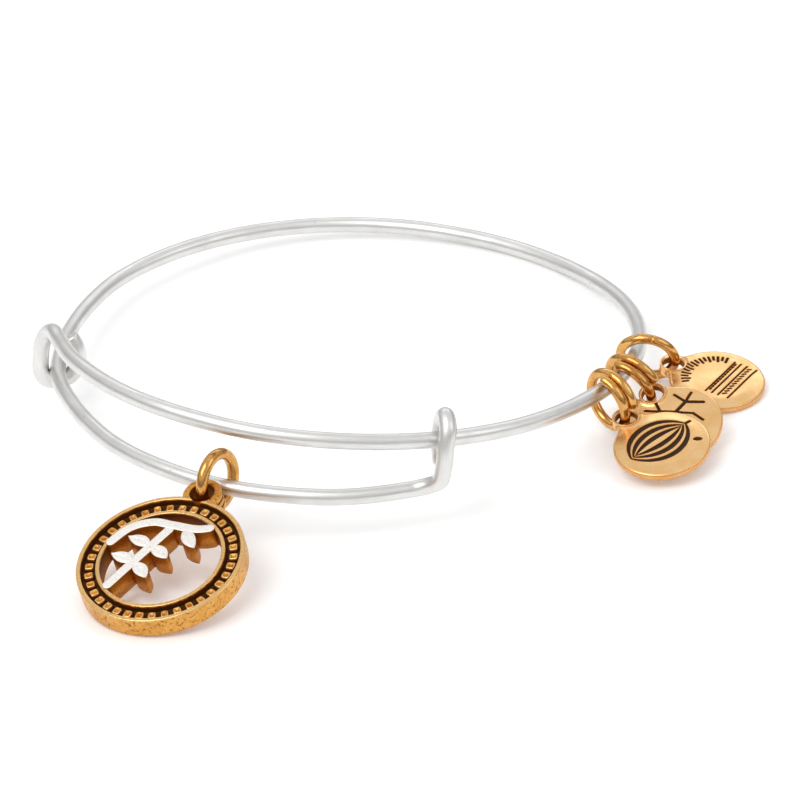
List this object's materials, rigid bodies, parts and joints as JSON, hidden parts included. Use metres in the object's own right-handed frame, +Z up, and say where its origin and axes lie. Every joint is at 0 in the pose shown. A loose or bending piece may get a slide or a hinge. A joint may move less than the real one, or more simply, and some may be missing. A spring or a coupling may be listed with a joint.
{
  "type": "charm bangle",
  "caption": "Expandable wire bangle with hooked end loops, a large openwork charm on a jump ring and small engraved tags, lying at rest.",
  "frame": {"origin": "on the surface that the bangle lies on, below the middle of the hoop", "axes": "+Z up from the surface, -Y towards the large charm, +X towards the small tags"},
  "size_m": [0.0723, 0.0772, 0.0131],
  "materials": {
    "silver_wire": "satin silver plating over brass wire",
    "antique_gold": "antiqued gold plating with dark recesses",
    "satin_gold": "satin gold plating with dark engraved lines"
  },
  "bodies": {
    "root": {"bangle_wire": "silver_wire", "charm_jump_ring": "antique_gold", "openwork_charm": "antique_gold", "tag_jump_ring_1": "satin_gold", "tag_jump_ring_2": "satin_gold", "tag_jump_ring_3": "satin_gold", "leaf_tag": "satin_gold", "branch_tag": "satin_gold", "band_tag": "satin_gold"}
  },
  "joints": []
}
